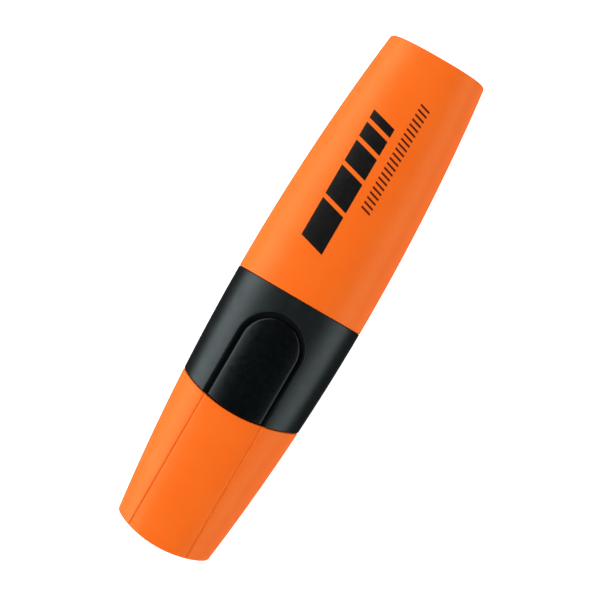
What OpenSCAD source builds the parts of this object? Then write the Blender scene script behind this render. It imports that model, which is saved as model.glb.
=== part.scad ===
// Flat capped highlighter: barrel, grip section, chisel nib, ink reservoir and pull-off cap.
// The pen lies on its broad back face: +X towards the cap, +Y across the pen, +Z up.
// The origin is under the middle of the pen, on the surface that it lies on.

/* [Overall] */
// Length from the flat rear end to the middle of the cap's rounded end
pen_length = 113; // [112.5:0.5:115]
// Width across the widest point
pen_width = 28.2; // [28:0.2:30]
// Thickness at the thickest point
pen_thickness = 17; // [17:0.2:18.4]
// How much each side edge draws in towards the ends
side_taper = 3.5; // [3:0.1:3.8]
// How much each broad face drops towards the ends
face_taper = 1.3; // [1:0.1:1.6]
// Squareness of the oval section: 2 is an ellipse, more is boxier
section_power = 2.5; // [2.4:0.1:3]

/* [Seams] */
// Where the barrel ends and the grip begins, along the pen
grip_x = -0.6; // [-2:0.1:1]
// Where the grip ends and the cap begins, at the side edges
seam_x = 23.05; // [23:0.05:24]
// How far the cap's mouth curves forward in the middle of the pen
seam_bow = 2.6; // [1:0.1:3]
// How far the cap's closed end curves forward in the middle
tip_bow = 1.85; // [1.3:0.05:1.9]
// Gap between the grip and the closed cap
seam_gap = 0.15; // [0.1:0.05:0.2]

/* [Walls] */
// Wall of the barrel and of the cap
wall = 1.4; // [1.3:0.05:1.45]
// Closed end wall of the barrel and of the cap
end_wall = 1.6; // [1.4:0.1:1.8]
// Rounding of the closed ends' edges, measured along the pen
end_round = 0.5; // [0.4:0.1:1]

/* [Thumb pads] */
// Half width of the pad groove's centre line, and the radius of its arch
pad_radius = 6.8; // [6:0.1:7]
// Width of the groove round each pad
pad_groove = 1.1; // [0.8:0.1:1.3]
// Where the centre line of the arch peaks, along the pen
pad_peak_x = 4.15; // [3.5:0.05:6]
// How far the pad's middle lies below the grip's surface
pad_drop = 0.2; // [0.1:0.05:0.3]
// How much further the pad's cushioned surface rolls down to its edges
pad_roll = 0.35; // [0.2:0.05:0.4]
// Distance from the middle of the cap to the grooves that carry the pads' outline along it
cap_groove_y = 6.6; // [6.4:0.1:6.8]
// Depth of those grooves
cap_groove_depth = 0.3; // [0.2:0.05:0.4]

/* [Nib and ink] */
// Width of the chisel nib
nib_width = 5; // [4.5:0.1:5]
// Thickness of the chisel nib
nib_thickness = 3.4; // [3:0.1:3.4]
// Radius of the filled and wrapped ink reservoir
reservoir_r = 5.5; // [5.2:0.05:5.5]
// Length of the ink reservoir
reservoir_length = 70; // [60:1:71]

/* [Hidden] */
$fn = 64;

rear_x = -pen_length / 2;
tip_x = pen_length / 2;
cap_end_x = tip_x - tip_bow;
end_draw = end_round * 0.6;  // how far the closed ends' rounding draws in sideways
widest_x = -2.65;
ring_n = 48;           // points round the oval section
station_step = 8;      // spacing of the rings along the pen
pad_step = 2.5;        // closer spacing for the cushioned pads

orange = [0.96, 0.43, 0.13];
black = [0.13, 0.15, 0.16];
pad_black = [0.05, 0.06, 0.06];
liner_white = [0.93, 0.92, 0.88];

// Fits between the pieces
press_gap = 0.05;      // spigot in barrel, liner in its socket, liner on the nose's seal land
neck_gap = 0.15;       // neck in the cap's mouth
nib_gap = 0.02;        // nib in its slot
bore_gap = 0.1;        // reservoir in its bore and between the ribs
film_thickness = 0.15;
end_gap = 0.3;         // reservoir to its end stop
cut = 1;               // how far a cutting shape runs past the face that it opens

// Front section, from back to front
spigot_length = 9;
spigot_wall = 1.2;
neck_inset = wall + neck_gap;
neck_bead_x = 29;
neck_bead = 0.1;
bead_length = 0.6;     // length of each flank of the bead
neck_end_x = 33;
neck_chamfer = 0.5;
web_y = 7;             // half width of the solid web between the two side chambers
chamber_end_x = 31.5;
land_r = 5;            // round seal land that the cap liner grips
land_end_x = 38;
nose_end_x = 45;
nose_end_r = 3.6;
vent_width = 1;
vent_depth = 0.5;
pocket_floor = 6.4;    // height of the pad pockets' floors above the pen's axis
pad_end_gap = 0.1;     // pad's front edge to the seam

// Nib and reservoir
nib_start_x = 20;
nib_tip_x = 52;
nib_slant = 3.6;       // length of the chisel's slanted edge, along the pen
nib_edge = 0.5;        // chamfers of the nib's corners
reservoir_end_x = 26;
reservoir_start_x = reservoir_end_x - reservoir_length;

// Ribs in the barrel, and the liner and its socket in the cap
rib_thickness = 1;
rib_y = 3.5;
rib_root = 0.3;        // how far the ribs run into the barrel's walls
rib_stop_z = 3;        // behind the reservoir the ribs reach in this close to the axis, to stop it
liner_start_x = 33.6;
liner_wall = 0.8;
liner_shoulder_x = 39.5;
liner_taper_end_x = 48;
liner_end_x = cap_end_x - 0.8;
liner_end_r = 4.2;
socket_length = 3.6;
socket_wall = 1;

// Half width and half thickness of the pen at x
function half_width(x) = pen_width / 2 - side_taper * pow((x - widest_x) / tip_x, 2);
function half_thick(x) = pen_thickness / 2 - face_taper * pow((x - widest_x) / tip_x, 2);

// Height of the broad face above the pen's axis at (x, y)
function face_z(x, y) =
    half_thick(x) * pow(1 - pow(abs(y) / half_width(x), section_power), 1 / section_power);

// How far a cross ring bows forward in its middle: flat on the barrel, curved at the cap's seam and end
function bow_at(x) = lookup(x, [[grip_x, 0], [seam_x, seam_bow], [cap_end_x, tip_bow]]);

// One point of the unit oval; a flat facet, not a corner, faces each way
function signed_pow(v, p) = sign(v) * pow(abs(v), p);
function oval(i) =
    let (a = 360 * (i + 0.5) / ring_n, p = 2 / section_power, flat = pow(cos(180 / ring_n), p))
    [signed_pow(cos(a), p), signed_pow(sin(a), p)] / flat;

// A cross ring at x, inset from the outer surface, shrunk by k towards the axis
function ring(x, inset = 0, k = 1, bow = undef) =
    let (b = is_undef(bow) ? bow_at(x) : bow)
    [for (i = [0:ring_n - 1])
        let (d = oval(i) * k, px = x + b * max(0, 1 - pow(d[0], 2)))
        [px, d[0] * (half_width(px) - inset), d[1] * (half_thick(px) - inset)]];

// Evenly spaced values from a to b, no further apart than the step
function stations(a, b, step = station_step) =
    let (n = ceil(abs(b - a) / step))
    [for (i = [0:n]) a + (b - a) * i / n];

// Rings of a rounded edge at a closed end; side is -1 at the rear and 1 at the cap
function rounded_end(x, side) =
    let (angles = side < 0 ? [0:22.5:90] : [90:-22.5:0])
    [for (a = angles) ring(x - side * end_round * (1 - cos(a)), end_draw * (1 - sin(a)))];

// How far the pad's surface rolls down at (x, y), from its middle line out to its sides and its arch
function roll_at(x, y) =
    let (from_middle = norm([max(0, pad_peak_x + pad_radius - x), y]), reach = pad_radius - pad_groove / 2)
    pad_roll * pow(min(1, from_middle / reach), 2);

function pad_ring(x) =
    [for (p = ring(x, pad_drop, 1, 0)) [p[0], p[1], p[2] - sign(p[2]) * roll_at(p[0], p[1])]];

function middle(points) =
    [for (axis = [0:2]) let (v = [for (p = points) p[axis]]) (min(v) + max(v)) / 2];

// A solid skinned over rings, with both ends closed; the rings of its outside run towards +X
module skin(rings) {
    last = len(rings) - 1;
    points = [for (r = rings) each r];
    first_middle = len(points);
    last_middle = first_middle + 1;
    sides = [for (r = [0:last - 1], i = [0:ring_n - 1])
        let (j = (i + 1) % ring_n, a = r * ring_n, b = a + ring_n)
        each [[a + i, b + i, a + j], [a + j, b + i, b + j]]];
    ends = [for (i = [0:ring_n - 1])
        let (j = (i + 1) % ring_n, b = last * ring_n)
        each [[first_middle, i, j], [last_middle, b + j, b + i]]];
    polyhedron(concat(points, [middle(rings[0]), middle(rings[last])]), concat(sides, ends));
}

// Turns a profile drawn as [x along the pen, radius] about the pen's axis
module revolve(profile) {
    rotate([0, 90, 0]) rotate_extrude() polygon([for (p = profile) [p[1], p[0]]]);
}

module rod(from_x, to_x, r) {
    translate([from_x, 0, 0]) rotate([0, 90, 0]) cylinder(h = to_x - from_x, r = r);
}

module block(from_x, to_x, width, height) {
    translate([from_x, -width / 2, -height / 2]) cube([to_x - from_x, width, height]);
}

// Lifts a piece from the pen's axis to the height at which the pen lies
module lie() {
    translate([0, 0, pen_thickness / 2]) children();
}

// Outline of a pad or its pocket: an arch at the back, and the cap seam's curve at the front
function seam_curve(y) = seam_x + seam_bow * (1 - pow(y / half_width(seam_x), 2));
module pad_outline(r, front_offset) {
    arch_x = pad_peak_x + pad_radius;
    arch = [for (a = [90:7.5:270]) [arch_x + r * cos(a), r * sin(a)]];
    front = [for (i = [-4:4]) [seam_curve(r * i / 4) + front_offset, r * i / 4]];
    polygon(concat(arch, front));
}

module barrel() {
    color(orange) lie() {
        skin(concat(
            [ring(rear_x, end_draw, 0.6)],
            rounded_end(rear_x, -1),
            [for (x = stations(rear_x + 2 * end_round, grip_x)) ring(x)],
            [for (x = stations(grip_x, rear_x + end_wall)) ring(x, wall)]
        ));
        barrel_ribs();
    }
}

// Four ribs on the broad walls cradle the reservoir, and reach in behind it to stop it
module barrel_ribs() {
    start_x = rear_x + end_wall - rib_root;
    end_x = grip_x - spigot_length - 1;
    difference() {
        intersection() {
            skin([for (x = stations(start_x, end_x)) ring(x, wall - rib_root)]);
            for (side = [-1, 1]) translate([0, side * rib_y, 0]) {
                block(start_x - cut, end_x + cut, rib_thickness, pen_thickness);
            }
        }
        rod(reservoir_start_x - end_gap, end_x + cut, reservoir_r + bore_gap);
        block(start_x - cut, reservoir_start_x, pen_width, 2 * rib_stop_z);
    }
}

module front_section() {
    color(black) lie() difference() {
        union() {
            skin(concat(
                [for (x = stations(grip_x - spigot_length, grip_x)) ring(x, wall + press_gap)],
                [for (x = stations(grip_x, seam_x)) ring(x)],
                [
                    ring(seam_x, neck_inset),
                    ring(neck_bead_x - bead_length, neck_inset, 1, 0),
                    ring(neck_bead_x, neck_inset - neck_bead, 1, 0),
                    ring(neck_bead_x + bead_length, neck_inset, 1, 0),
                    ring(neck_end_x - neck_chamfer, neck_inset, 1, 0),
                    ring(neck_end_x, neck_inset + neck_chamfer, 1, 0)
                ]
            ));
            revolve([
                [neck_end_x - cut, 0], [neck_end_x - cut, land_r], [land_end_x, land_r],
                [nose_end_x, nose_end_r], [nose_end_x, 0]
            ]);
        }
        rod(grip_x - spigot_length - cut, reservoir_end_x + end_gap, reservoir_r + bore_gap);
        side_chambers();
        block(reservoir_end_x, nose_end_x + cut, nib_width + 2 * nib_gap, nib_thickness + 2 * nib_gap);
        block(reservoir_end_x, nose_end_x + cut, vent_width, nib_thickness + 2 * vent_depth);
        for (face = [0, 1]) mirror([0, 0, face]) {
            translate([0, 0, pocket_floor]) linear_extrude(pen_thickness)
                pad_outline(pad_radius + pad_groove / 2, end_gap);
        }
    }
}

// Hollows either side of the reservoir bore, open at the back, that keep the moulding's walls even
module side_chambers() {
    start_x = grip_x - spigot_length - cut;
    spigot_inset = wall + press_gap + spigot_wall;
    difference() {
        skin([
            ring(start_x, spigot_inset, 1, 0), ring(seam_x - 1, spigot_inset, 1, 0),
            ring(seam_x + 1, neck_inset + wall, 1, 0), ring(chamber_end_x, neck_inset + wall, 1, 0)
        ]);
        block(start_x - cut, chamber_end_x + cut, 2 * web_y, pen_thickness);
    }
}

module thumb_pad() {
    color(pad_black) intersection() {
        skin([for (x = stations(pad_peak_x - 2, seam_x + seam_bow + 1, pad_step)) pad_ring(x)]);
        translate([0, 0, pocket_floor]) linear_extrude(pen_thickness)
            pad_outline(pad_radius - pad_groove / 2, -pad_end_gap);
    }
}

module thumb_pad_top() {
    lie() thumb_pad();
}

module thumb_pad_bottom() {
    lie() mirror([0, 0, 1]) thumb_pad();
}

module nib() {
    w = nib_width / 2;
    color(orange) lie() translate([0, 0, -nib_thickness / 2]) linear_extrude(nib_thickness) polygon([
        [nib_start_x, nib_edge - w], [nib_start_x, w - nib_edge], [nib_start_x + nib_edge, w],
        [nib_tip_x - nib_slant - nib_edge, w], [nib_tip_x - nib_slant, w - nib_edge],
        [nib_tip_x, nib_edge - w], [nib_tip_x - nib_edge, -w], [nib_start_x + nib_edge, -w]
    ]);
}

module ink_reservoir() {
    color(orange) lie() difference() {
        rod(reservoir_start_x, reservoir_end_x, reservoir_r - film_thickness);
        block(nib_start_x, reservoir_end_x + cut, nib_width + 2 * nib_gap, nib_thickness + 2 * nib_gap);
    }
}

module reservoir_film() {
    color(liner_white, 0.4) lie() difference() {
        rod(reservoir_start_x, reservoir_end_x, reservoir_r);
        rod(reservoir_start_x - cut, reservoir_end_x + cut, reservoir_r - film_thickness);
    }
}

module cap() {
    mouth_x = seam_x + seam_gap;
    inner_end_x = cap_end_x - end_wall;
    socket_r = liner_end_r + press_gap;
    color(orange) lie() {
        difference() {
            skin(concat(
                [for (k = [0.3, 0.65]) ring(inner_end_x, wall, k)],
                [for (x = stations(inner_end_x, mouth_x)) ring(x, wall)],
                [for (x = stations(mouth_x, cap_end_x - 2 * end_round)) ring(x)],
                rounded_end(cap_end_x, 1),
                [for (k = [0.65, 0.3]) ring(cap_end_x, end_draw, k)]
            ));
            for (face = [0, 1], side = [-1, 1]) mirror([0, 0, face]) cap_groove(side * cap_groove_y);
        }
        difference() {
            rod(liner_end_x - socket_length, cap_end_x, socket_r + socket_wall);
            rod(liner_end_x - socket_length - cut, liner_end_x + press_gap, socket_r);
        }
    }
}

// Shallow groove along the cap's face, in line with the edge of the thumb pad
module cap_groove(y) {
    width = pad_groove * 0.8;
    xs = stations(seam_x - cut, tip_x + cut);
    floor = [for (x = xs) [x, face_z(min(x, tip_x), y) - cap_groove_depth]];
    top = [[tip_x + cut, pen_thickness], [seam_x - cut, pen_thickness]];
    translate([0, y + width / 2, 0]) rotate([90, 0, 0]) linear_extrude(width)
        polygon(concat(floor, top));
}

module cap_liner() {
    seal_r = land_r + press_gap;
    tube_r = seal_r + liner_wall;
    inner_end_r = liner_end_r - liner_wall;
    color(liner_white) lie() difference() {
        revolve([
            [liner_start_x, 0], [liner_start_x, tube_r], [liner_shoulder_x, tube_r],
            [liner_taper_end_x, liner_end_r], [liner_end_x, liner_end_r], [liner_end_x, 0]
        ]);
        revolve([
            [liner_start_x - cut, 0], [liner_start_x - cut, seal_r], [liner_shoulder_x, seal_r],
            [liner_taper_end_x, inner_end_r], [liner_end_x - liner_wall, inner_end_r],
            [liner_end_x - liner_wall, 0]
        ]);
    }
}

barrel();
front_section();
thumb_pad_top();
thumb_pad_bottom();
nib();
ink_reservoir();
reservoir_film();
cap();
cap_liner();
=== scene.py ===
"""Looks of a flat capped highlighter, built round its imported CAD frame.

Meshes are worked out in millimetres about the pen's axis: +X towards the cap, +Y across, +Z up.
build() turns them into metres and lifts them to the height at which the pen lies.
"""
import math

import bmesh
import bpy
from mathutils import Matrix, Vector


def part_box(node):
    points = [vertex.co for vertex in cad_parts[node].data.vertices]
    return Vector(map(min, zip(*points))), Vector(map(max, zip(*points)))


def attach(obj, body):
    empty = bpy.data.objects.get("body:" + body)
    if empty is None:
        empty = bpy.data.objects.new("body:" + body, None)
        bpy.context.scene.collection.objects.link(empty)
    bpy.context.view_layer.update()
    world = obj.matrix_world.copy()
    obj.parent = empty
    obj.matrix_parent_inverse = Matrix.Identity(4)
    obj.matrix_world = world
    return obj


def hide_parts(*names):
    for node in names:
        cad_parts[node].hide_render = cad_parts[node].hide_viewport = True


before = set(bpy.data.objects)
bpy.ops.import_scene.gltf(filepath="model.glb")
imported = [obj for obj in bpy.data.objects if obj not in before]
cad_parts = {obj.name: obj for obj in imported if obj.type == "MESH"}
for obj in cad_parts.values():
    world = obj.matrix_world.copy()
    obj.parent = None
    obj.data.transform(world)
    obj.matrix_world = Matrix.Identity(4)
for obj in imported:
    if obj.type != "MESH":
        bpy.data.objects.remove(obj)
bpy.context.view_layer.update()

MM = 0.001


def box_mm(node):
    low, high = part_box(node)
    return low / MM, high / MM


barrel_low, barrel_high = box_mm("barrel")
front_low, front_high = box_mm("front_section")
pad_low, pad_high = box_mm("thumb_pad_top")
cap_low, cap_high = box_mm("cap")
liner_low, liner_high = box_mm("cap_liner")
nib_low, nib_high = box_mm("nib")
_, reservoir_high = box_mm("reservoir_film")

# Outer form, as in the CAD model
rear_x = barrel_low.x
grip_x = barrel_high.x
tip_x = cap_high.x
pen_width = barrel_high.y - barrel_low.y
pen_thickness = barrel_high.z - barrel_low.z
axis_z = barrel_low.z + pen_thickness / 2
widest_x = -2.65
side_taper = 3.5
face_taper = 1.3
section_power = 2.5
wall = 1.4
end_wall = 1.6
end_round = 0.5
end_draw = 0.3             # how far the ends' rounding draws in sideways

# Seams
seam_gap = 0.15
seam_x = cap_low.x - seam_gap
seam_bow = 2.6
tip_bow = 1.85
cap_end_x = tip_x - tip_bow
barrel_rim = 0.14          # rounding of the barrel's mouth
grip_rear_rim = 0.34       # rounding of the grip where it meets the barrel
grip_front_rim = 0.2
cap_rim = 0.28

# Thumb pads, their pockets, and the grooves that carry their outline along the cap
pad_radius = 6.8
pad_reach = pad_high.y
pocket_reach = 2 * pad_radius - pad_reach
arch_x = pad_low.x + pad_reach
pad_drop = 0.2
pad_roll = 0.35
pad_end_gap = 0.1
pad_rim = 0.38
pocket_floor = pad_low.z - axis_z
pocket_lip = 0.08
pocket_fillet = 0.1
cap_groove_y = 6.6
cap_groove_half = 0.34
cap_groove_depth = 0.24

# Neck, nose and bore of the front section
spigot_start_x = front_low.x
press_gap = 0.05
spigot_inset = wall + press_gap
spigot_chamfer = 0.4
neck_gap = 0.15
neck_inset = wall + neck_gap
neck_flat_x = 28.4
bead_x = 29
bead_height = 0.1
bead_reach = 0.8
neck_end_x = 33
neck_round = 0.5
land_r = 5
land_end_x = 38
nose_end_x = front_high.x
nose_end_r = 3.6
nose_round = 0.45
bore_r = reservoir_high.y + 0.1
bore_end_x = reservoir_high.x + 0.3
nib_gap = 0.02
slot_half_y = nib_high.y + nib_gap
slot_half_z = (nib_high.z - nib_low.z) / 2 + nib_gap
vent_half_y = 0.5
vent_depth = 0.5

# Liner in the cap, and the socket that holds its tip
liner_wall = 0.8
liner_tip_r = 4.2
liner_shoulder_x = 39.5
liner_taper_end_x = 48
socket_length = 3.6
socket_wall = 1
socket_gap = 0.05

# Sampling
round_n = 192              # points round a plain section
side_share = 0.72          # share of the half width where the broad faces' patches meet the sides'
side_n = 28                # points round each side
rim_n = 4                  # steps round the grip's front edge, along a pad's outline
straight_n = 36            # steps along the straight part of a pad's outline
arch_n = 40                # steps round half of its arch
straight_end = rim_n + 1 + straight_n
weld_mm = 0.002            # points closer together than this become one


def lerp(a, b, share):
    return a + (b - a) * share


def spread(a, b, n):
    """n + 1 evenly spaced values from a to b."""
    return [lerp(a, b, i / n) for i in range(n + 1)]


def quarter(n):
    """n + 1 angles from 0 to a right angle."""
    return spread(0, math.pi / 2, n)


def signed_power(value, power):
    return math.copysign(abs(value) ** power, value)


# ---------------------------------------------------------------- the pen's oval section


def half_width(x):
    return pen_width / 2 - side_taper * ((x - widest_x) / tip_x) ** 2


def half_thick(x):
    return pen_thickness / 2 - face_taper * ((x - widest_x) / tip_x) ** 2


def direction(angle):
    """(across, up) on the unit oval."""
    power = 2 / section_power
    return signed_power(math.cos(angle), power), signed_power(math.sin(angle), power)


def up_at(across):
    return max(0, 1 - abs(across) ** section_power) ** (1 / section_power)


def face_height(x, y, inset=0):
    """Height of the broad face above the axis."""
    return (half_thick(x) - inset) * up_at(y / (half_width(x) - inset))


def section(x, directions, inset=0, bow=0, share=1):
    """A closed loop round the pen: inset from the surface, bowed forward in its middle by bow."""
    loop = []
    for across, up in directions:
        px = x + bow * max(0, 1 - (share * across) ** 2)
        y = share * across * (half_width(px) - inset)
        z = share * up * (half_thick(px) - inset)
        loop.append((px, y, z))
    return loop


def circle(x, radius, angles):
    return [(x, radius * math.cos(a), radius * math.sin(a)) for a in angles]


plain_directions = [direction(2 * math.pi * (i + 0.5) / round_n) for i in range(round_n)]


# ---------------------------------------------------------------- meshes


class Sheets:
    """Sheets of faces in millimetres, which weld where their borders meet."""

    def __init__(self):
        self.points = []
        self.faces = []

    def grid(self, rows, closed=False):
        """Quads between rows of points of equal length; closed rows join end to end."""
        start = len(self.points)
        n = len(rows[0])
        for row in rows:
            self.points.extend(row)
        for r in range(len(rows) - 1):
            for i in range(n if closed else n - 1):
                a = start + r * n + i
                b = start + r * n + (i + 1) % n
                self.faces.append((a, b, b + n, a + n))

    def face(self, loop):
        start = len(self.points)
        self.points.extend(loop)
        self.faces.append(tuple(range(start, start + len(loop))))

    def zip(self, loop_a, loop_b):
        """Triangles between two closed loops with any number of points, which start at one angle."""
        start_a = len(self.points)
        start_b = start_a + len(loop_a)
        self.points.extend(loop_a)
        self.points.extend(loop_b)
        turn_a = turned(loop_a)
        turn_b = turned(loop_b)
        i = j = 0
        while i < len(loop_a) or j < len(loop_b):
            a = start_a + i % len(loop_a)
            b = start_b + j % len(loop_b)
            if j >= len(loop_b) or (i < len(loop_a) and turn_a[i + 1] <= turn_b[j + 1]):
                i += 1
                self.faces.append((a, start_a + i % len(loop_a), b))
            else:
                j += 1
                self.faces.append((a, start_b + j % len(loop_b), b))

    def tube(self, loops, close_first=True, close_last=True):
        """A skin over closed loops, with flat ends."""
        self.grid(loops, closed=True)
        if close_first:
            self.face(loops[0])
        if close_last:
            self.face(loops[-1])


def turned(loop):
    """How far round the axis each point of a closed loop lies from the first, and the full turn."""
    angles = [math.atan2(z, y) for _, y, z in loop]
    total = [0]
    for a, b in zip(angles, angles[1:] + angles[:1]):
        total.append(total[-1] + abs((b - a + math.pi) % (2 * math.pi) - math.pi))
    return total


def mirror_y(points):
    return [(p[0], -p[1], *p[2:]) for p in points]


def mirror_z(points):
    return [(x, y, -z) for x, y, z in points]


def build(name, sheets, material, body, nodes=(), sharp=32):
    """Makes the mesh object, welded and smooth but for edges sharper than the angle."""
    mesh = bpy.data.meshes.new(name)
    mesh.from_pydata([(x * MM, y * MM, (z + axis_z) * MM) for x, y, z in sheets.points], [], sheets.faces)
    bm = bmesh.new()
    bm.from_mesh(mesh)
    bmesh.ops.remove_doubles(bm, verts=bm.verts, dist=weld_mm * MM)
    bmesh.ops.recalc_face_normals(bm, faces=bm.faces)
    bm.to_mesh(mesh)
    bm.free()
    mesh.shade_smooth()
    mesh.set_sharp_from_angle(angle=math.radians(sharp))
    mesh.materials.append(material)
    piece = bpy.data.objects.new(name, mesh)
    bpy.context.scene.collection.objects.link(piece)
    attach(piece, body)
    if nodes:
        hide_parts(*nodes)
    return piece


# ---------------------------------------------------------------- barrel


def rounded_end(x, side, directions_at, bow):
    """Loops of a closed end, from the flat of its face out to where the rounding is full."""
    flat = [section(x, directions_at(x), end_draw, bow, share) for share in (0.3, 0.65, 0.93, 0.985)]
    edge = []
    for a in quarter(10):
        px = x - side * end_round * (1 - math.cos(a))
        edge.append(section(px, directions_at(px), end_draw * (1 - math.sin(a)), bow))
    return flat + edge


def rim_loops(x, side, directions_at, bow, rim):
    """Loops round the mouth of a shell, from its outer surface over the rim to its inner one."""
    loops = []
    for a in quarter(5):
        px = x + side * rim * (1 - math.sin(a))
        loops.append(section(px, directions_at(px), rim * (1 - math.cos(a)), bow))
    inner = rim / 2
    for a in reversed(quarter(3)):
        px = x + side * inner * (1 - math.sin(a))
        loops.append(section(px, directions_at(px), wall - inner * (1 - math.cos(a)), bow))
    return loops


def make_barrel(material):
    def directions_at(_):
        return plain_directions

    loops = rounded_end(rear_x, -1, directions_at, 0)
    loops += [section(x, plain_directions) for x in spread(rear_x + end_round, grip_x - barrel_rim, 64)[1:-1]]
    loops += rim_loops(grip_x, -1, directions_at, 0, barrel_rim)
    inner = spread(grip_x - barrel_rim, rear_x + end_wall, 16)[1:]
    loops += [section(x, plain_directions, wall) for x in inner]
    loops.append(section(inner[-1], plain_directions, wall, 0, 0.5))
    sheets = Sheets()
    sheets.tube(loops)
    return build("barrel_shell", sheets, material, "pen_body", ["barrel"])


# ---------------------------------------------------------------- front section


def seam_at(y):
    """Where the grip's front edge lies along the pen."""
    x = seam_x
    for _ in range(5):
        x = seam_x + seam_bow * (1 - (y / half_width(x)) ** 2)
    return x


def half_outline(reach, front_x, rim=0):
    """(x, y, inset) from the seam along the -Y side of an arch to its peak."""
    points = []
    for a in reversed(quarter(rim_n)):
        points.append((front_x - rim * (1 - math.sin(a)), -reach, rim * (1 - math.cos(a))))
    points += [(lerp(front_x - rim, arch_x, share), -reach, 0) for share in spread(0, 1, straight_n)[1:]]
    points += [(arch_x - reach * math.sin(a), -reach * math.cos(a), 0) for a in quarter(arch_n)[1:]]
    return points


def half_border(rear):
    """(x, y, inset) along the -Y side and the rear of the grip's broad face, in step with half_outline."""
    front_x = seam_x + seam_bow * (1 - side_share ** 2)
    points = []
    for x, _, inset in half_outline(0, front_x, grip_front_rim)[:straight_end]:
        points.append((x, -side_share * half_width(x), inset))
    points += [(x, -side_share * half_width(x), 0) for x in spread(arch_x, rear, arch_n // 2)[1:]]
    points += [(rear, y, 0) for y in spread(-side_share * half_width(rear), 0, arch_n // 2)[1:]]
    return points


def whole(half):
    """Both sides of an outline, from its half on the -Y side."""
    return half + list(reversed(mirror_y(half[:-1])))


def on_face(x, y, inset=0, drop=0):
    """A point of the top face, inset like the section and lowered by drop."""
    width = half_width(x)
    thick = half_thick(x)
    return x, y * (width - inset) / width, face_height(x, y) * (thick - inset) / thick - drop


def grip_face_rows(rear):
    """Rows of the grip's top face, from its border in over the pocket's lip and wall to its floor."""
    border = whole(half_border(rear))
    lip_reach = pocket_reach + pocket_lip
    inner = whole(half_outline(lip_reach, seam_at(lip_reach), grip_front_rim))
    rows = []
    for share in spread(0, 1, 12):
        rows.append([
            on_face(lerp(b[0], i[0], share), lerp(b[1], i[1], share), i[2]) for b, i in zip(border, inner)
        ])
    for a in quarter(4)[1:]:
        reach = pocket_reach + pocket_lip * (1 - math.sin(a))
        outline = whole(half_outline(reach, seam_at(reach), grip_front_rim))
        rows.append([on_face(x, y, inset, pocket_lip * (1 - math.cos(a))) for x, y, inset in outline])
    for a in quarter(3):
        reach = pocket_reach - pocket_fillet * (1 - math.cos(a))
        outline = whole(half_outline(reach, seam_at(reach), grip_front_rim))
        z = pocket_floor + pocket_fillet * (1 - math.sin(a))
        rows.append([(x, y, z) for x, y, _ in outline])
    return rows


def grip_side_rows(edge, rear):
    """Rows round the +Y side of the grip, from its top patch's edge to the bottom one's."""
    angle = math.acos(side_share ** (section_power / 2))
    directions = [direction(a) for a in spread(angle, -angle, side_n)[1:-1]]
    front_x = edge[-1][0]
    rim_insets = [grip_front_rim * (1 - math.cos(a)) for a in quarter(rim_n)]
    insets = [0] * (len(edge) - len(rim_insets)) + rim_insets
    rows = []
    for point, inset in zip(edge, insets):
        share = (point[0] - rear) / (front_x - rear)
        row = [point]
        for across, up in directions:
            x = lerp(rear, seam_x + seam_bow * (1 - across ** 2), share)
            row += section(x, [(across, up)], inset)
        rows.append(row + mirror_z([point]))
    return rows, directions


def slot_edge(x, angle):
    """The point of the nib slot's edge that a ray at this angle meets; an air vent lies above and below."""
    across = math.cos(angle)
    up = math.sin(angle)
    scale = min(slot_half_y / max(abs(across), 1e-9), slot_half_z / max(abs(up), 1e-9))
    y = across * scale
    z = up * scale
    if abs(y) < vent_half_y:
        z = math.copysign(slot_half_z + vent_depth, z)
    return x, y, z


def neck_loops(directions):
    """Loops forward from the foot of the seam's step to the end of the neck."""
    loops = []
    for share in spread(0, 1, 6):
        x = lerp(seam_x, neck_flat_x - bead_reach / 4, share)
        loops.append(section(x, directions, neck_inset, seam_bow * (1 - share)))
    for share in spread(-1, 1, 8):
        bump = bead_height * (0.5 + 0.5 * math.cos(math.pi * share))
        loops.append(section(bead_x + share * bead_reach, directions, neck_inset - bump))
    for a in quarter(5):
        x = neck_end_x - neck_round * (1 - math.sin(a))
        loops.append(section(x, directions, neck_inset + neck_round * (1 - math.cos(a))))
    return loops


def nose_profile():
    """(x, radius) from the neck's end over the seal land and the cone to the rounded nose."""
    slope = math.atan2(land_r - nose_end_r, nose_end_x - land_end_x)
    profile = [(neck_end_x, land_r + 0.3), (neck_end_x + 0.09, land_r + 0.09), (neck_end_x + 0.3, land_r)]
    profile += [(x, land_r) for x in spread(neck_end_x + 1, land_end_x, 4)]
    profile += [(x, lerp(land_r, nose_end_r, (x - land_end_x) / (nose_end_x - land_end_x)))
                for x in spread(land_end_x, nose_end_x - nose_round, 6)[1:]]
    end_r = nose_end_r + nose_round * math.tan(slope)
    profile += [(nose_end_x - nose_round * (1 - math.sin(a)), end_r - nose_round * (1 - math.cos(a)))
                for a in quarter(5)[1:]]
    return profile


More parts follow.
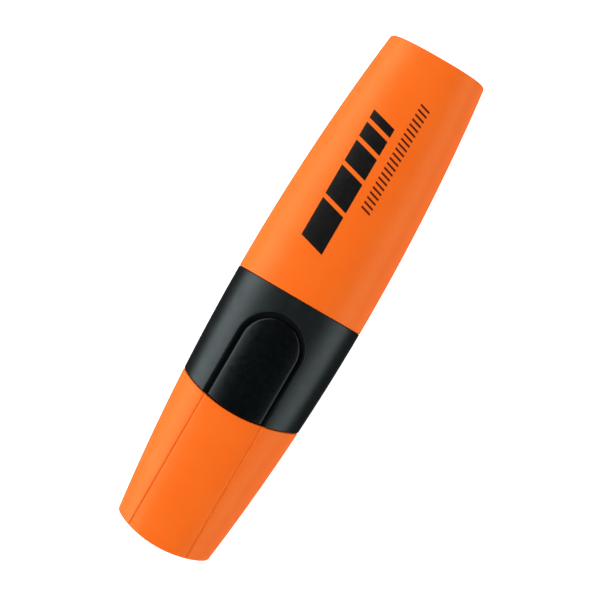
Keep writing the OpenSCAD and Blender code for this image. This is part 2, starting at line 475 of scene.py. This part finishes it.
def make_front_section(material):
    rear = grip_x + grip_rear_rim
    face = grip_face_rows(rear)
    corner = straight_end + arch_n // 2 - 1       # spoke that meets the border's rear corner on the -Y side
    spokes = len(face[0])
    floor_reach = pocket_reach - pocket_fillet
    floor_front = [(seam_at(y), y, pocket_floor) for y in spread(-floor_reach, floor_reach, 40)]

    sheets = Sheets()
    sheets.grid(face)
    sheets.grid([mirror_z(row) for row in face])
    floor = face[-1] + list(reversed(floor_front[1:-1]))
    sheets.face(floor)
    sheets.face(mirror_z(floor))

    edge = face[0][spokes - 1 - corner:]
    side, side_directions = grip_side_rows(edge, rear)
    sheets.grid(side)
    sheets.grid([mirror_y(row) for row in side])

    # Backwards: the rounded rear edge, the step down to the spigot, and the spigot
    top = [(y / half_width(rear), z / half_thick(rear)) for _, y, z in face[0][corner:spokes - corner]]
    bottom = [(across, -up) for across, up in reversed(top)]
    left_side = [(-across, up) for across, up in reversed(side_directions)]
    rear_directions = top + side_directions + bottom + left_side
    back = []
    for a in quarter(5):
        x = grip_x + grip_rear_rim * (1 - math.sin(a))
        back.append(section(x, rear_directions, grip_rear_rim * (1 - math.cos(a))))
    back.append(section(grip_x, rear_directions, spigot_inset))
    spigot_xs = spread(grip_x, spigot_start_x + spigot_chamfer, 4)[1:]
    back += [section(x, rear_directions, spigot_inset) for x in spigot_xs]
    back.append(section(spigot_start_x, rear_directions, spigot_inset + spigot_chamfer))
    sheets.grid(back, closed=True)

    # Forwards: the step at the seam, the neck, the nose, the nib slot and the reservoir's bore
    front_top = [row[0] for row in face] + floor_front[1:-1] + [row[-1] for row in reversed(face)]
    front_loop = front_top + side[-1][1:-1] + list(reversed(mirror_z(front_top)))
    front_loop += mirror_y(reversed(side[-1][1:-1]))
    top = [(y, up_at(y)) for y in [y / (half_width(x) - grip_front_rim) for x, y, _ in front_top]]
    bottom = [(across, -up) for across, up in reversed(top)]
    front_directions = top + side_directions + bottom + left_side
    loops = [front_loop] + neck_loops(front_directions)
    angles = [math.atan2(z, y) for _, y, z in loops[-1]]
    loops += [circle(x, radius, angles) for x, radius in nose_profile()]
    loops += [[slot_edge(x, a) for a in angles] for x in (nose_end_x, bore_end_x)]
    bore = circle(spigot_start_x, bore_r, angles)
    loops += [circle(bore_end_x, bore_r, angles), bore]
    sheets.grid(loops, closed=True)
    sheets.zip(back[-1], bore)
    return build("front_moulding", sheets, material, "pen_body", ["front_section"])


# ---------------------------------------------------------------- thumb pads


def pad_height(x, y):
    """The cushioned surface: it rolls down from its middle line to its sides and its arch."""
    from_middle = math.hypot(max(0, arch_x - x), y)
    return face_height(x, y, pad_drop) - pad_roll * min(1, from_middle / pad_reach) ** 2


def pad_front(y, inset):
    return seam_at(y) - pad_end_gap - inset


def make_thumb_pad(name, node, material, side):
    across_n = 32
    levels = [(0, None), (0, pad_rim)]
    levels += [(pad_rim * (1 - math.cos(a)), pad_rim * (1 - math.sin(a))) for a in quarter(6)[1:]]
    rings = []
    for inset, drop in levels:
        reach = pad_reach - inset
        ring = [(x, y) for x, y, _ in whole(half_outline(reach, pad_front(reach, inset)))]
        ring += [(pad_front(y, inset), y) for y in spread(reach, -reach, across_n)[1:-1]]
        rings.append([(x, y, pocket_floor if drop is None else pad_height(x, y) - drop) for x, y in ring])
    rungs = []
    reach = pad_reach - pad_rim
    for x, y, _ in half_outline(reach, pad_front(reach, pad_rim)):
        share = (x - arch_x) / (pad_front(reach, pad_rim) - arch_x)
        rung = []
        for py in spread(y, -y, across_n):
            px = x if share <= 0 else lerp(arch_x, pad_front(py, pad_rim), share)
            rung.append((px, py, pad_height(px, py)))
        rungs.append(rung)
    sheets = Sheets()
    sheets.face(rings[0])
    sheets.grid(rings, closed=True)
    sheets.grid(rungs)
    sheets.points = [(x, y, side * z) for x, y, z in sheets.points]
    return build(name, sheets, material, "pen_body", [node], sharp=50)


# ---------------------------------------------------------------- cap


def cap_directions(x):
    """Directions round the cap, close together along its grooves, which run parallel to the pen."""
    width = half_width(x)
    edge = side_share * width
    groove_low = cap_groove_y - cap_groove_half
    groove_high = cap_groove_y + cap_groove_half
    half = spread(0, groove_low, 20)
    half += spread(groove_low, groove_high, 14)[1:]
    half += spread(groove_high, edge, 8)[1:]
    right = [(y / width, up_at(y / width)) for y in half]
    angle = math.acos(side_share ** (section_power / 2))
    side = [direction(a) for a in spread(angle, -angle, side_n)[1:-1]]
    left = [(-across, up) for across, up in reversed(right[1:])]
    top = left + right
    bottom = [(across, -up) for across, up in reversed(top)]
    return top + side + bottom + [(-across, up) for across, up in reversed(side)]


def grooved(loop, share=1):
    """Sinks the two grooves of each broad face into a loop of the cap."""
    sunk = []
    for x, y, z in loop:
        off = min(1, abs(abs(y) - cap_groove_y) / cap_groove_half)
        depth = share * cap_groove_depth * (0.5 + 0.5 * math.cos(math.pi * off))
        sunk.append((x, y, z - math.copysign(depth, z)) if abs(y) < side_share * half_width(x) else (x, y, z))
    return sunk


def make_cap(material):
    mouth_x = seam_x + seam_gap
    inner_end_x = cap_end_x - end_wall
    end = rounded_end(cap_end_x, 1, cap_directions, tip_bow)
    flat_n = 4
    edge_n = len(end) - flat_n
    loops = end[:flat_n]
    loops += [grooved(loop, i / (edge_n - 1)) for i, loop in enumerate(end[flat_n:])]
    outer = spread(cap_end_x - end_round, mouth_x + cap_rim, 56)
    for x in outer[1:-1]:
        bow = lerp(seam_bow, tip_bow, (x - seam_x) / (cap_end_x - seam_x))
        loops.append(grooved(section(x, cap_directions(x), 0, bow)))
    rim = rim_loops(mouth_x, 1, cap_directions, seam_bow, cap_rim)
    loops += [grooved(loop) for loop in rim[:6]] + rim[6:]
    for x in spread(mouth_x + cap_rim / 2, inner_end_x, 14)[1:]:
        bow = lerp(seam_bow, 0, (x - mouth_x) / (inner_end_x - mouth_x))
        loops.append(section(x, cap_directions(x), wall, bow))
    angles = [math.atan2(z, y) for _, y, z in loops[-1]]
    for x, radius in socket_profile(inner_end_x):
        loops.append(circle(x, radius, angles))
    sheets = Sheets()
    sheets.tube(loops)
    return build("cap_shell", sheets, material, "cap_body", ["cap"])


def socket_profile(inner_end_x):
    """(x, radius) of the socket in the cap's end that holds the liner's tip."""
    inner_r = liner_tip_r + socket_gap
    outer_r = inner_r + socket_wall
    start_x = liner_high.x - socket_length
    lead = 0.2
    return [
        (inner_end_x, outer_r), (start_x + lead, outer_r), (start_x, outer_r - lead),
        (start_x, inner_r + lead), (start_x + lead, inner_r), (liner_high.x + socket_gap, inner_r),
        (liner_high.x + socket_gap, inner_r / 2),
    ]


# ---------------------------------------------------------------- liner and nib


def lathe(profile, n=96):
    """A skin of (x, radius) points turned about the axis."""
    angles = [2 * math.pi * i / n for i in range(n)]
    return [circle(x, radius, angles) for x, radius in profile]


def make_liner(material):
    tube_r = liner_high.y
    seal_r = tube_r - liner_wall
    inner_tip_r = liner_tip_r - liner_wall
    lip = liner_wall / 2
    tip_round = 0.3
    profile = [(liner_high.x, 1), (liner_high.x, liner_tip_r - tip_round)]
    profile += [
        (liner_high.x - tip_round * (1 - math.cos(a)), liner_tip_r - tip_round * (1 - math.sin(a)))
        for a in quarter(4)[1:]
    ]
    profile += [(x, liner_tip_r) for x in spread(liner_high.x - 1, liner_taper_end_x, 4)]
    taper_length = liner_taper_end_x - liner_shoulder_x
    profile += [
        (x, lerp(liner_tip_r, tube_r, (liner_taper_end_x - x) / taper_length))
        for x in spread(liner_taper_end_x, liner_shoulder_x, 8)[1:]
    ]
    profile += [(x, tube_r) for x in spread(liner_shoulder_x, liner_low.x + lip, 6)[1:]]
    lip_angles = quarter(4)[1:]
    profile += [(liner_low.x + lip * (1 - math.sin(a)), tube_r - lip * (1 - math.cos(a))) for a in lip_angles]
    profile += [(liner_low.x + lip * (1 - math.cos(a)), seal_r + lip * (1 - math.sin(a))) for a in lip_angles]
    profile += [(liner_shoulder_x, seal_r), (liner_taper_end_x, inner_tip_r)]
    profile += [(liner_high.x - liner_wall, inner_tip_r), (liner_high.x - liner_wall, 1)]
    sheets = Sheets()
    sheets.tube(lathe(profile))
    return build("inner_cap", sheets, material, "cap_body", ["cap_liner"])


def make_nib(material):
    """A chisel bar: rounded rectangular sections, the last of them slanted across the pen."""
    half_y = nib_high.y
    half_z = (nib_high.z - nib_low.z) / 2
    slant = 3.6
    corner = 0.45
    blunt = 0.55
    nib_n = 96
    squareness = 0.25
    angles = [2 * math.pi * (i + 0.5) / nib_n for i in range(nib_n)]

    def nib_loop(x, inset, lean):
        loop = []
        for a in angles:
            y = (half_y - inset) * signed_power(math.cos(a), squareness)
            z = (half_z - inset) * signed_power(math.sin(a), squareness)
            loop.append((x - lean * slant * (y + half_y) / (2 * half_y), y, z))
        return loop

    loops = [nib_loop(nib_low.x, corner, 0), nib_loop(nib_low.x + corner, 0, 0)]
    bar_end_x = nib_high.x - slant - 3
    loops += [nib_loop(x, 0, 0) for x in spread(nib_low.x + 1, bar_end_x, 12)]
    for share in spread(0, 1, 12)[1:]:
        loops.append(nib_loop(lerp(bar_end_x, nib_high.x - blunt, share), 0, share))
    for a in quarter(6)[1:]:
        loops.append(nib_loop(nib_high.x - blunt * (1 - math.sin(a)), blunt * (1 - math.cos(a)), 1))
    loops.append([(lerp(x, nib_high.x - slant / 2, 0.5), y / 2, z / 2) for x, y, z in loops[-1]])
    sheets = Sheets()
    sheets.tube(loops)
    return build("chisel_nib", sheets, material, "pen_body", ["nib"], sharp=60)


# ---------------------------------------------------------------- printed mark


def printed_bar(sheets, start_x, length, low_y, high_y, lean):
    """A thin slab of ink on the barrel's top face; its ends lean towards the rear."""
    rows = []
    top = 0.02
    root = -0.06
    for share in spread(0, 1, 8):
        y = lerp(high_y, low_y, share)
        shift = -lean * share
        rows.append([(start_x + shift - d, y) for d in spread(0, length, max(2, round(length / 0.8)))])
    upper = [[(x, y, face_height(x, y) + top) for x, y in row] for row in rows]
    lower = [[(x, y, z + root - top) for x, y, z in row] for row in upper]
    sheets.grid(upper)
    sheets.grid(lower)
    for pair in ((upper[0], lower[0]), (upper[-1], lower[-1])):
        sheets.grid(pair)
    for end in (0, -1):
        sheets.grid([[row[end] for row in upper], [row[end] for row in lower]])


def make_print(black, brown):
    """A generic mark: slanted black bars that shorten towards the rear, and a row of brown ticks."""
    bars = Sheets()
    x = -10.5
    bar_gap = 0.95
    for length in (8.6, 6.6, 4.8, 3.2, 1.9):
        printed_bar(bars, x, length, -5.9, -0.3, 1.6)
        x -= length + bar_gap
    build("printed_bars", bars, black, "pen_body", sharp=20)
    ticks = Sheets()
    tick_n = 22
    first_tick_x = -22
    tick_pitch = 1.12
    tick_length = 0.42
    for i in range(tick_n):
        printed_bar(ticks, first_tick_x - tick_pitch * i, tick_length, 1.7, 4.0, 0.7)
    build("printed_ticks", ticks, brown, "pen_body", sharp=20)


# ---------------------------------------------------------------- materials


def srgb(red, green, blue):
    """Linear colour from display values of 0 to 255."""
    def channel(v):
        v /= 255
        return v / 12.92 if v <= 0.04045 else ((v + 0.055) / 1.055) ** 2.4
    return channel(red), channel(green), channel(blue), 1


class Finish:
    """A node material under a Principled shader, in the object's own coordinates."""

    def __init__(self, name, **sockets):
        self.material = bpy.data.materials.new(name)
        self.material.use_nodes = True
        self.tree = self.material.node_tree
        self.shader = self.tree.nodes["Principled BSDF"]
        self.place = self.tree.nodes.new("ShaderNodeTexCoord").outputs["Object"]
        for socket, value in sockets.items():
            self.shader.inputs[socket.replace("_", " ")].default_value = value

    def link(self, output, target):
        self.tree.links.new(output, target)

    def stretched(self, x, y, z):
        """The object's coordinates with each axis scaled."""
        node = self.tree.nodes.new("ShaderNodeMapping")
        node.inputs["Scale"].default_value = (x, y, z)
        self.link(self.place, node.inputs["Vector"])
        return node.outputs["Vector"]

    def noise(self, size_mm, detail=3, place=None, roughness=0.5):
        node = self.tree.nodes.new("ShaderNodeTexNoise")
        node.inputs["Scale"].default_value = 1 / (size_mm * MM)
        node.inputs["Detail"].default_value = detail
        node.inputs["Roughness"].default_value = roughness
        self.link(place or self.place, node.inputs["Vector"])
        return node.outputs["Fac"]

    def ramp(self, value, low, high, from_low=0.3, from_high=0.7):
        """Spreads a noise value onto a range."""
        node = self.tree.nodes.new("ShaderNodeMapRange")
        limits = {"From Min": from_low, "From Max": from_high, "To Min": low, "To Max": high}
        for name, number in limits.items():
            node.inputs[name].default_value = number
        self.link(value, node.inputs["Value"])
        return node.outputs["Result"]

    def tones(self, value, first, second, from_low=0.3, from_high=0.7):
        """Blends two colours by a noise value and sends the result to the base colour."""
        node = self.tree.nodes.new("ShaderNodeValToRGB")
        node.color_ramp.elements[0].position = from_low
        node.color_ramp.elements[0].color = first
        node.color_ramp.elements[1].position = from_high
        node.color_ramp.elements[1].color = second
        self.link(value, node.inputs["Fac"])
        self.link(node.outputs["Color"], self.shader.inputs["Base Color"])

    def roughness(self, value, low, high):
        self.link(self.ramp(value, low, high), self.shader.inputs["Roughness"])

    def bump(self, *layers):
        """Stacks bumps: each layer is a height value and its depth in millimetres."""
        normal = None
        for height, depth_mm in layers:
            node = self.tree.nodes.new("ShaderNodeBump")
            node.inputs["Distance"].default_value = depth_mm * MM
            self.link(height, node.inputs["Height"])
            if normal:
                self.link(normal, node.inputs["Normal"])
            normal = node.outputs["Normal"]
        self.link(normal, self.shader.inputs["Normal"])


def orange_plastic():
    finish = Finish(
        "orange_plastic", IOR=1.49, Specular_Tint=(1, 0.72, 0.34, 1), Subsurface_Weight=0.12,
        Subsurface_Scale=MM, Subsurface_Radius=(1.6, 0.6, 0.2),
    )
    cloud = finish.noise(9, 2)
    finish.tones(cloud, srgb(247, 106, 25), srgb(249, 110, 29))
    finish.roughness(finish.noise(2.5, 4), 0.36, 0.44)
    finish.bump((finish.noise(5, 2), 0.02), (finish.noise(0.16, 2), 0.004))
    return finish.material


def black_plastic():
    finish = Finish("black_plastic", IOR=1.5, Specular_Tint=(0.84, 0.98, 1, 1))
    finish.tones(finish.noise(7, 3), srgb(4, 7, 8), srgb(8, 12, 13))
    finish.roughness(finish.noise(2, 4), 0.36, 0.44)
    finish.bump((finish.noise(4, 2), 0.015), (finish.noise(0.14, 2), 0.006))
    return finish.material


def matt_inlay():
    finish = Finish("matt_inlay", IOR=1.45, Specular_IOR_Level=0.37, Specular_Tint=(0.84, 0.98, 1, 1))
    finish.tones(finish.noise(0.5, 4), srgb(1, 2, 3), srgb(4, 6, 7))
    finish.roughness(finish.noise(1.2, 4), 0.24, 0.32)
    finish.bump((finish.noise(0.22, 3), 0.008),)
    return finish.material


def nib_felt():
    finish = Finish("nib_felt", IOR=1.35, Sheen_Weight=0.3, Sheen_Roughness=0.6)
    strands = finish.noise(0.12, 4, finish.stretched(0.05, 1, 1), 0.7)
    finish.tones(strands, srgb(214, 62, 4), srgb(255, 122, 26))
    finish.roughness(strands, 0.7, 0.95)
    finish.bump((strands, 0.06), (finish.noise(0.5, 3), 0.04))
    return finish.material


def inked_fibre():
    finish = Finish("inked_fibre", IOR=1.35)
    strands = finish.noise(0.2, 4, finish.stretched(0.04, 1, 1), 0.7)
    finish.tones(strands, srgb(232, 88, 12), srgb(255, 150, 60))
    finish.roughness(strands, 0.75, 0.95)
    finish.bump((strands, 0.08),)
    return finish.material


def clear_film():
    finish = Finish("clear_film", IOR=1.5, Alpha=0.35)
    finish.tones(finish.noise(6, 2), srgb(238, 238, 234), srgb(246, 246, 243))
    finish.roughness(finish.noise(1.5, 3), 0.1, 0.2)
    finish.bump((finish.noise(3, 2, finish.stretched(0.3, 1, 1)), 0.03),)
    return finish.material


def natural_plastic():
    finish = Finish(
        "natural_plastic", IOR=1.49, Subsurface_Weight=0.35, Subsurface_Scale=MM,
        Subsurface_Radius=(1.2, 1.1, 0.9),
    )
    finish.tones(finish.noise(6, 3), srgb(226, 223, 210), srgb(236, 233, 222))
    finish.roughness(finish.noise(1.5, 4), 0.38, 0.5)
    finish.bump((finish.noise(2.5, 2), 0.02), (finish.noise(0.2, 2), 0.006))
    return finish.material


def printing_ink(name, first, second):
    finish = Finish(name, IOR=1.48, Specular_IOR_Level=0.3)
    finish.tones(finish.noise(0.3, 4), first, second)
    finish.roughness(finish.noise(0.5, 4), 0.34, 0.5)
    finish.bump((finish.noise(0.25, 3), 0.008),)
    return finish.material


def pale_floor():
    finish = Finish("pale_floor", IOR=1.4, Emission_Color=(1, 1, 1, 1), Emission_Strength=0.7)
    finish.tones(finish.noise(60, 3), srgb(246, 246, 246), srgb(250, 250, 250))
    finish.roughness(finish.noise(5, 3), 0.85, 0.95)
    return finish.material


# ---------------------------------------------------------------- stage


def make_floor():
    mesh = bpy.data.meshes.new("floor")
    reach = 2
    corners = [(-reach, -reach, 0), (reach, -reach, 0), (reach, reach, 0), (-reach, reach, 0)]
    mesh.from_pydata(corners, [], [(0, 1, 2, 3)])
    mesh.materials.append(pale_floor())
    floor = bpy.data.objects.new("floor", mesh)
    bpy.context.scene.collection.objects.link(floor)
    floor.visible_glossy = False


def softbox(name, from_zenith, distance, size, power, centre):
    """An area light across the pen at an angle from straight overhead, towards +Y if positive."""
    data = bpy.data.lights.new(name, "AREA")
    data.shape = "RECTANGLE"
    data.size, data.size_y = size
    data.energy = power
    light = bpy.data.objects.new(name, data)
    angle = math.radians(from_zenith)
    back = Vector((0, math.sin(angle), math.cos(angle)))
    light.location = centre + back * distance
    light.matrix_world = Matrix.Translation(light.location) @ facing(back, Vector((1, 0, 0)))
    light.visible_camera = False
    bpy.context.scene.collection.objects.link(light)


def facing(back, right):
    """Rotation of a camera or light whose own +Z is back and whose +X is close to right."""
    up = back.cross(right).normalized()
    right = up.cross(back)
    return Matrix((right, up, back)).transposed().to_4x4()


def make_world():
    world = bpy.data.worlds.new("studio")
    world.use_nodes = True
    tree = world.node_tree
    fill = tree.nodes["Background"]
    fill.inputs["Color"].default_value = (0.9, 0.95, 1, 1)
    fill.inputs["Strength"].default_value = 0.06
    backdrop = tree.nodes.new("ShaderNodeBackground")
    backdrop.inputs["Strength"].default_value = 1
    backdrop.inputs["Color"].default_value = (1, 1, 1, 1)
    mix = tree.nodes.new("ShaderNodeMixShader")
    path = tree.nodes.new("ShaderNodeLightPath")
    tree.links.new(path.outputs["Is Camera Ray"], mix.inputs["Fac"])
    tree.links.new(fill.outputs["Background"], mix.inputs[1])
    tree.links.new(backdrop.outputs["Background"], mix.inputs[2])
    tree.links.new(mix.outputs["Shader"], tree.nodes["World Output"].inputs["Surface"])
    bpy.context.scene.world = world


def make_camera(centre):
    """Nearly straight down on the grip's rear seam; the cap points down to the left of the picture."""
    distance = 0.36
    lean = math.radians(2.7)
    turn = math.radians(30.17)
    data = bpy.data.cameras.new("camera")
    data.sensor_width = 36
    data.lens = 106
    camera = bpy.data.objects.new("camera", data)
    back = Vector((0, math.sin(lean), math.cos(lean)))
    right = Vector((-math.sin(turn), math.cos(turn), 0))
    camera.matrix_world = Matrix.Translation(centre + back * distance) @ facing(back, right)
    bpy.context.scene.collection.objects.link(camera)
    bpy.context.scene.camera = camera


def make_stage():
    centre = Vector((grip_x, 0.1, axis_z)) * MM
    make_floor()
    make_world()
    softbox("left_softbox", -57, 0.5, (1.4, 0.42), 6.45, centre)
    softbox("right_softbox", 57, 0.5, (1.4, 0.34), 3.3, centre)
    make_camera(centre)
    bpy.context.scene.view_settings.view_transform = "Standard"


make_stage()
orange = orange_plastic()
inlay = matt_inlay()
make_barrel(orange)
make_cap(orange)
make_front_section(black_plastic())
make_thumb_pad("thumb_inlay_top", "thumb_pad_top", inlay, 1)
make_thumb_pad("thumb_inlay_bottom", "thumb_pad_bottom", inlay, -1)
make_liner(natural_plastic())
make_nib(nib_felt())
make_print(
    printing_ink("black_ink", srgb(3, 2, 2), srgb(8, 6, 5)),
    printing_ink("brown_ink", srgb(78, 20, 5), srgb(90, 24, 7)),
)
for node, material, slot in (
    ("ink_reservoir", inked_fibre(), "inked_filler"),
    ("reservoir_film", clear_film(), "clear_film"),
):
    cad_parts[node].data.materials.clear()
    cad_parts[node].data.materials.append(material)
